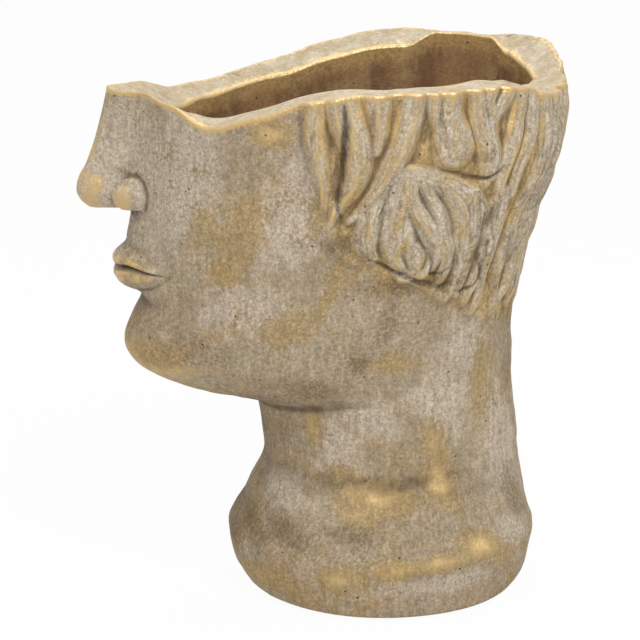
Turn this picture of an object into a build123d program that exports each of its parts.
from build123d import *
import math
import os

# A cast cement planter in the form of a head that is cut off below the eyes.
# Everything is in millimetres. Z is up and the face looks along -Y. The parts are drawn
# about the axis of the neck, then moved so that the origin lies on the floor under the
# middle of the whole casting.

# Foot of the casting, a rounded drum under the neck
foot_length = 138.0
foot_width = 149.0
foot_round_height = 9.0
bulge_length = 154.0
bulge_width = 151.0
bulge_height = 28.0
bulge_power = 2.1
foot_shift = -2.0

# Neck, measured where it is slimmest. It leans back a little above the foot.
neck_length = 129.0
neck_width = 118.0
neck_height = 69.0
neck_shift = 3.0
throat_height = 98.0
throat_shift = -1.0
nape_share = 0.14

# Head above the throat, under the hair
rim_height = 256.0
face_reach = 126.0
crown_reach = 86.0
skull_width = 166.0
head_power = 2.2
crown_skew_share = 0.26
skew_power = 0.45

# Nose, lips and chin, on the proportions of a drawing manual. Their heights are shares of
# the way from the throat to the rim.
nose_place_share = 0.64
nose_reach = 29.0
nose_width = 37.0
mouth_place_share = 0.455
mouth_width = 56.0
mouth_bend_share = 0.54
lower_lip_height = 13.0
upper_lip_height = 10.4
lip_reach = 6.5
mouth_gap = 0.8
muzzle_radius = 38.0
muzzle_reach = 3.5
chin_place_share = 0.22
chin_radius = 30.0
chin_reach = 4.5

# Hair, a raised mass of wavy locks over the sides and the back of the head
hair_relief = 5.4
lock_depth = 3.0
hair_front = 54.0
hair_length = 117.0
temple_turn_share = 0.66
border_bulge = 4.0
lock_count = 14
lock_sway_share = 1.5

# Cut rim, higher at the far back corner than at the near one
rim_wave = 12.0

# Hollow for the plant, a neck well that opens into a bowl
wall = 15.0
face_wall = 20.0
neck_wall = 16.5
floor_thickness = 20.0
bowl_egg_share = 0.16

# Drain hole, its rubber bung and the four stick-on foam feet
drain_diameter = 22.0
drain_taper = 3.0
bung_flange_margin = 7.0
bung_flange_thickness = 4.0
bung_flange_round = 1.2
bung_grip_diameter = 9.0
bung_knob_diameter = 13.0
bung_grip_height = 16.0
bung_clearance = 0.3
bung_inset = 4.0
pad_diameter = 20.0
pad_thickness = 2.0
pad_round = 0.5
pad_margin = 6.0
pad_count = 4

# Closeness of the drawn sections, and how far a cutting body runs past what it cuts
section_points = 20
section_count = 18
short_section_count = 10
lock_points = 4
overrun = 10.0

# Heights that several pieces share
floor_height = pad_thickness + floor_thickness
head_rise = rim_height - throat_height


def outline_point(turn, front, back, half_width, egg_share, power, skew):
    """A point of a closed, egg-shaped section. The section lies along the line from front
    to back, both given as (y, z), and is narrower towards the front by egg_share. A power
    above 2 makes it squarer than an ellipse, and skew swings its back to the far side."""
    along = math.copysign(abs(math.cos(turn)) ** (2 / power), math.cos(turn))
    across = math.copysign(abs(math.sin(turn)) ** (2 / power), math.sin(turn))
    share = (1 + along) / 2
    x = half_width * across * (1 + egg_share * along)
    y = front[0] + (back[0] - front[0] - skew * x) * share
    return Vector(x, y, front[1] + (back[1] - front[1]) * share)


def section(row):
    """One closed section of a loft, from its row of sizes."""
    front_y, front_z, back_y, back_z, half_width, egg_share, power, skew = row
    front = (front_y, front_z)
    back = (back_y, back_z)
    points = []
    for i in range(section_points):
        turn = 2 * math.pi * i / section_points
        points.append(outline_point(turn, front, back, half_width, egg_share, power, skew))
    return Wire([Edge.make_spline(points, periodic=True)])


def travel(rows):
    """How far each row lies from the first one, as the mean of its two ends."""
    places = [0.0]
    for a, b in zip(rows, rows[1:]):
        front = math.hypot(b[0] - a[0], b[1] - a[1])
        back = math.hypot(b[2] - a[2], b[3] - a[3])
        places.append(places[-1] + (front + back) / 2)
    return places


def slopes(places, values):
    """Slopes at the given values that make a curve through them without overshoot."""
    steps = []
    for i in range(len(values) - 1):
        steps.append((values[i + 1] - values[i]) / (places[i + 1] - places[i]))
    result = [steps[0]]
    for a, b in zip(steps, steps[1:]):
        result.append(0.0 if a * b <= 0 else 2 * a * b / (a + b))
    result.append(steps[-1])
    return result


def evenly(rows, count, first_share=0.0):
    """The rows read again at even distances, on smooth curves through them. A loft through
    evenly spaced sections keeps to its sections. first_share leaves the start out."""
    places = travel(rows)
    columns = list(zip(*rows))
    column_slopes = [slopes(places, values) for values in columns]
    result = []
    for j in range(count):
        place = places[-1] * (first_share + (1 - first_share) * j / (count - 1))
        i = 0
        while i < len(places) - 2 and places[i + 1] < place:
            i += 1
        step = places[i + 1] - places[i]
        s = (place - places[i]) / step
        row = []
        for values, slope in zip(columns, column_slopes):
            value = (1 + 2 * s) * (1 - s) ** 2 * values[i]
            value += s * (1 - s) ** 2 * step * slope[i]
            value += s * s * (3 - 2 * s) * values[i + 1]
            value += s * s * (s - 1) * step * slope[i + 1]
            row.append(value)
        result.append(tuple(row))
    return result


def smooth_loft(rows, count):
    """A smooth body through evenly spaced sections of the rows."""
    return Solid.make_loft([section(row) for row in evenly(rows, count)])


def drum_row(height, length, width, shift):
    """A level row of the foot or the neck, moved back by shift."""
    front_y = shift - length / 2
    back_y = shift + length / 2
    return (front_y, height, back_y, height, width / 2, 0.0, bulge_power, 0.0)


def head_rows():
    """Rows of the casting's outside, from its foot to above the rim. They start level,
    lean down towards the front under the jaw, and come level again at the rim."""
    rows = []
    # Height, and the share of the way from the foot out to the bulge
    for height, out_share in (
        (pad_thickness, 0.0),
        (pad_thickness + foot_round_height, 0.6),
        (bulge_height, 1.0),
    ):
        length = foot_length + (bulge_length - foot_length) * out_share
        width = foot_width + (bulge_width - foot_width) * out_share
        rows.append(drum_row(height, length, width, foot_shift))
    # Shares of the rise from the bulge to the neck, and of the step in to the neck
    for rise_share, step_share in ((0.38, 0.4), (1.0, 1.0)):
        height = bulge_height + (neck_height - bulge_height) * rise_share
        length = bulge_length + (neck_length - bulge_length) * step_share
        width = bulge_width + (neck_width - bulge_width) * step_share
        shift = foot_shift + (neck_shift - foot_shift) * step_share
        rows.append(drum_row(height, length, width, shift))
    half = neck_length / 2
    front_y, front_z, back_y, back_z, *shape = drum_row(
        throat_height, neck_length, neck_width, throat_shift
    )
    rows.append((front_y, front_z, back_y, back_z + head_rise * nape_share, *shape))
    # Front reach, front rise, back reach, back rise and width of each head section, as
    # shares of the way from the throat to the face, crown, rim and skull, then its egg
    head_shares = (
        (0.36, 0.045, -0.04, 0.22, 0.10, 0.10),
        (0.70, 0.075, -0.08, 0.30, 0.16, 0.18),
        (0.95, 0.140, -0.03, 0.37, 0.22, 0.23),
        (1.02, 0.235, 0.08, 0.45, 0.32, 0.25),
        (0.97, 0.345, 0.24, 0.53, 0.44, 0.25),
        (1.00, 0.455, 0.43, 0.61, 0.58, 0.24),
        (0.99, 0.640, 0.79, 0.73, 0.80, 0.22),
        (0.98, 0.830, 1.03, 0.87, 0.97, 0.20),
        (0.97, 1.150, 1.02, 1.15, 1.00, 0.18),
    )
    for front_share, front_rise, back_share, back_rise, width_share, egg in head_shares:
        front_y = half + (face_reach - half) * front_share
        back_y = half + (crown_reach - half) * back_share
        width = neck_width + (skull_width - neck_width) * width_share
        front_z = throat_height + head_rise * front_rise
        back_z = throat_height + head_rise * back_rise
        skew = crown_skew_share * width_share**skew_power
        rows.append((-front_y, front_z, back_y, back_z, width / 2, egg, head_power, skew))
    return rows


def nose():
    """The nose, a stack of narrow sections from its underside to above the rim."""
    # Height from the nose base to the rim, front reach, back height and width as shares,
    # then the egg that narrows the section to the ridge
    nose_shares = (
        (0.030, 0.74, -0.09, 0.74, 0.34),
        (0.090, 0.94, -0.04, 0.94, 0.38),
        (0.180, 1.00, 0.12, 0.92, 0.38),
        (0.300, 0.95, 0.30, 0.76, 0.36),
        (0.480, 0.78, 0.50, 0.64, 0.34),
        (0.760, 0.58, 0.78, 0.62, 0.32),
        (1.500, 0.34, 1.50, 0.62, 0.32),
    )
    base_z = throat_height + head_rise * nose_place_share
    rise = rim_height - base_z
    root_y = -face_reach + face_wall / 2
    rows = []
    for up_share, reach_share, back_share, width_share, egg in nose_shares:
        front_y = -face_reach - nose_reach * reach_share
        front_z = base_z + rise * up_share
        back_z = base_z + rise * back_share
        half_width = nose_width / 2 * width_share
        rows.append((front_y, front_z, root_y, back_z, half_width, egg, 2.0, 0.0))
    return smooth_loft(rows, short_section_count)


def ball(radius, reach, height):
    """A ball in the front of the face that stands out of it by reach."""
    return Solid.make_sphere(radius, Plane((0, radius - face_reach - reach, height)))


def lip(thickness, height):
    """One lip, a round bar bent in a ring that sinks into the cheeks at the corners of
    the mouth. Only its front arc stays in sight."""
    bend = mouth_width * mouth_bend_share - thickness / 2
    middle_y = -face_reach - lip_reach + thickness / 2 + bend
    return Solid.make_torus(bend, thickness / 2, Plane((0, middle_y, height)))


def mouth_and_chin():
    """The two lips, the fullness behind them and the chin."""
    mouth_z = throat_height + head_rise * mouth_place_share
    chin_z = throat_height + head_rise * chin_place_share
    return [
        ball(muzzle_radius, muzzle_reach, mouth_z),
        ball(chin_radius, chin_reach, chin_z),
        lip(upper_lip_height, mouth_z + (upper_lip_height + mouth_gap) / 2),
        lip(lower_lip_height, mouth_z - (lower_lip_height + mouth_gap) / 2),
    ]


def lock_section(row, level_share):
    """A section of the hair, from temple to temple round the back and straight across
    behind the face. Its outline swells into locks, which sway sideways with height, so
    that they run down the hair in waves."""
    front_y, front_z, back_y, back_z, half_width, egg_share, power, skew = row
    lean = (back_z - front_z) / (back_y - front_y)
    sway = lock_sway_share * math.pi * math.sin(2 * math.pi * level_share)
    last = lock_count * lock_points
    points = []
    for i in range(last + 1):
        side = 2 * i / last - 1
        turn = math.pi * temple_turn_share * side
        wave = math.cos(math.pi * lock_count * side + sway * side)
        swell = hair_relief - lock_depth * (1 - wave) / 2
        front = (front_y - swell, front_z - lean * swell)
        back = (back_y + swell, back_z + lean * swell)
        half = half_width + swell
        points.append(outline_point(turn, front, back, half, egg_share, power, skew))
    return Wire([Edge.make_spline(points), Edge.make_line(points[-1], points[0])])


def hair_outline():
    """The hair's outline on the side of the head, as a bar right across the head. Each
    lock ends in a round tip."""
    # Tips of the locks from the temple down and back to the nape, as shares of the way
    # from the hair's front to the crown and from its low edge to the rim
    tip_shares = (
        (0.00, 1.20),
        (0.00, 0.93),
        (0.03, 0.76),
        (0.10, 0.60),
        (0.16, 0.46),
        (0.25, 0.35),
        (0.38, 0.26),
        (0.51, 0.19),
        (0.66, 0.17),
        (0.76, 0.08),
        (0.86, 0.00),
        (1.25, 0.00),
    )
    depth = crown_reach + hair_front
    low = rim_height - hair_length
    half_width = skull_width / 2 + hair_relief + overrun
    tips = []
    for along, up in tip_shares:
        tips.append(Vector(-half_width, depth * along - hair_front, low + hair_length * up))
    edges = []
    for a, b in zip(tips, tips[1:]):
        run = b - a
        outward = Vector(0, run.Z, -run.Y) * (border_bulge / run.length)
        edges.append(Edge.make_three_point_arc(a, (a + b) / 2 + outward, b))
    top = Vector(-half_width, tips[-1].Y, tips[0].Z)
    edges.append(Edge.make_line(tips[-1], top))
    edges.append(Edge.make_line(top, tips[0]))
    return Solid.extrude(Face(Wire(edges)), Vector(2 * half_width, 0, 0))


def hair():
    """The raised hair over the sides and the back of the head."""
    neck_end_share = 0.36
    rows = evenly(head_rows(), short_section_count, neck_end_share)
    sections = []
    for j, row in enumerate(rows):
        sections.append(lock_section(row, j / (short_section_count - 1)))
    return Solid.make_loft(sections) & hair_outline()


def rim_cut():
    """Everything above the cut rim. Its underside waves from front to back, and stands
    higher at the far back corner than at the near one."""
    # Share of the way to the face (below zero) or crown, then the rim's height on the far
    # and on the near side as shares of the wave
    rim_shares = (
        (-1.45, -0.15, -0.15),
        (-1.10, -0.15, -0.15),
        (-0.80, -0.60, -0.95),
        (-0.62, -0.58, -0.40),
        (-0.45, -0.25, 0.30),
        (-0.30, 0.00, 0.58),
        (-0.03, 0.60, 0.60),
        (0.27, 1.00, 0.62),
        (0.48, 0.88, 0.45),
        (0.66, 0.75, -0.05),
        (0.83, 0.72, -0.25),
        (1.07, 1.00, -0.10),
        (1.35, 1.00, -0.10),
    )
    # Where the far and the near outlines stand, as shares of half the skull's width
    stand_shares = ((-1.3, True), (-0.5, True), (-0.14, False), (1.3, False))
    top = rim_height + head_rise / 2
    outlines = []
    for stand_share, far in stand_shares:
        x = stand_share * skull_width / 2
        points = []
        for along, far_share, near_share in rim_shares:
            y = along * (face_reach if along < 0 else crown_reach)
            z = rim_height + rim_wave * (far_share if far else near_share)
            points.append(Vector(x, y, z))
        front_top = Vector(x, points[0].Y, top)
        back_top = Vector(x, points[-1].Y, top)
        edges = [
            Edge.make_spline(points),
            Edge.make_line(points[-1], back_top),
            Edge.make_line(back_top, front_top),
            Edge.make_line(front_top, points[0]),
        ]
        outlines.append(Wire(edges))
    return Solid.make_loft(outlines, ruled=True)


def hollow():
    """The neck well and the bowl above it, from the pot's floor to above the rim."""
    # Rise from the floor to the rim, then the steps out from the well to the bowl at the
    # front, at the back and at the side, all as shares
    bowl_shares = (
        (0.000, -0.09, -0.12, -0.14),
        (0.030, -0.01, -0.02, -0.02),
        (0.205, 0.02, 0.08, 0.07),
        (0.325, 0.04, 0.02, 0.06),
        (0.440, 0.19, 0.06, 0.21),
        (0.547, 0.60, 0.12, 0.43),
        (0.654, 0.88, 0.42, 0.65),
        (0.761, 0.97, 0.76, 0.86),
        (0.889, 1.00, 0.98, 0.98),
        (1.180, 1.00, 1.00, 1.00),
    )
    rise = rim_height - floor_height
    well_reach = neck_length / 2 - neck_wall
    well_half = neck_width / 2 - neck_wall
    front_step = face_reach - face_wall - well_reach
    back_step = crown_reach - wall - well_reach
    side_step = skull_width / 2 - wall - well_half
    rows = []
    for up_share, front_share, back_share, side_share in bowl_shares:
        z = floor_height + rise * up_share
        front_y = -well_reach - front_step * front_share
        back_y = well_reach + back_step * back_share
        half_width = well_half + side_step * side_share
        egg = bowl_egg_share * max(front_share, 0.0)
        skew = crown_skew_share * max(side_share, 0.0) ** skew_power
        rows.append((front_y, z, back_y, z, half_width, egg, bulge_power, skew))
    return smooth_loft(rows, section_count)


def drain_radius(height):
    """Radius of the tapered drain hole at a height above the ground."""
    return (drain_diameter - drain_taper * (floor_height - height) / floor_thickness) / 2


def tapered(low, high, gap):
    """The drain hole between two heights, drawn smaller by gap all round."""
    low_radius = drain_radius(low) - gap
    high_radius = drain_radius(high) - gap
    return Solid.make_cone(low_radius, high_radius, high - low, Plane((0, 0, low)))


def head_shell():
    """The whole casting, in one piece of cement."""
    skin = smooth_loft(head_rows(), section_count)
    body = skin.fuse(hair(), nose(), *mouth_and_chin())
    drain = tapered(pad_thickness - overrun, floor_height + overrun, 0)
    return body.cut(hollow(), rim_cut(), drain)


def drain_plug():
    """The rubber bung. Its flange lies on the pot's floor, its plug fills the drain and
    its knob is the grip."""
    flange_top = floor_height + bung_flange_thickness
    flange_radius = drain_diameter / 2 + bung_flange_margin
    stem_height = bung_grip_height - bung_knob_diameter / 2
    plug = tapered(pad_thickness + bung_inset, floor_height, bung_clearance)
    flange_plane = Plane((0, 0, floor_height))
    flange = Solid.make_cylinder(flange_radius, bung_flange_thickness, flange_plane)
    flange = flange.fillet(bung_flange_round, flange.edges().group_by(Axis.Z)[-1])
    stem = Solid.make_cylinder(bung_grip_diameter / 2, stem_height, Plane((0, 0, flange_top)))
    knob = Solid.make_sphere(bung_knob_diameter / 2, Plane((0, 0, flange_top + stem_height)))
    return plug.fuse(flange, stem, knob)


def foot_pad(number):
    """One stick-on foam foot, glued flat to the underside of the casting."""
    angle = 2 * math.pi * (number + 0.5) / pad_count
    reach = foot_width / 2 - pad_margin - pad_diameter / 2
    plane = Plane((reach * math.cos(angle), reach * math.sin(angle), 0))
    pad = Solid.make_cylinder(pad_diameter / 2, pad_thickness, plane)
    return pad.fillet(pad_round, pad.edges().group_by(Axis.Z)[0])


if __name__ == "__main__":
    os.makedirs("parts", exist_ok=True)
    shell = head_shell()
    bodies = {"head_shell": shell, "drain_plug": drain_plug()}
    for number in range(pad_count):
        bodies[f"foot_pad_{number + 1}"] = foot_pad(number)
    box = shell.bounding_box()
    centring = Pos(0, -(box.min.Y + box.max.Y) / 2, 0)
    for name, body in bodies.items():
        export_step(centring * body, f"parts/{name}.step")
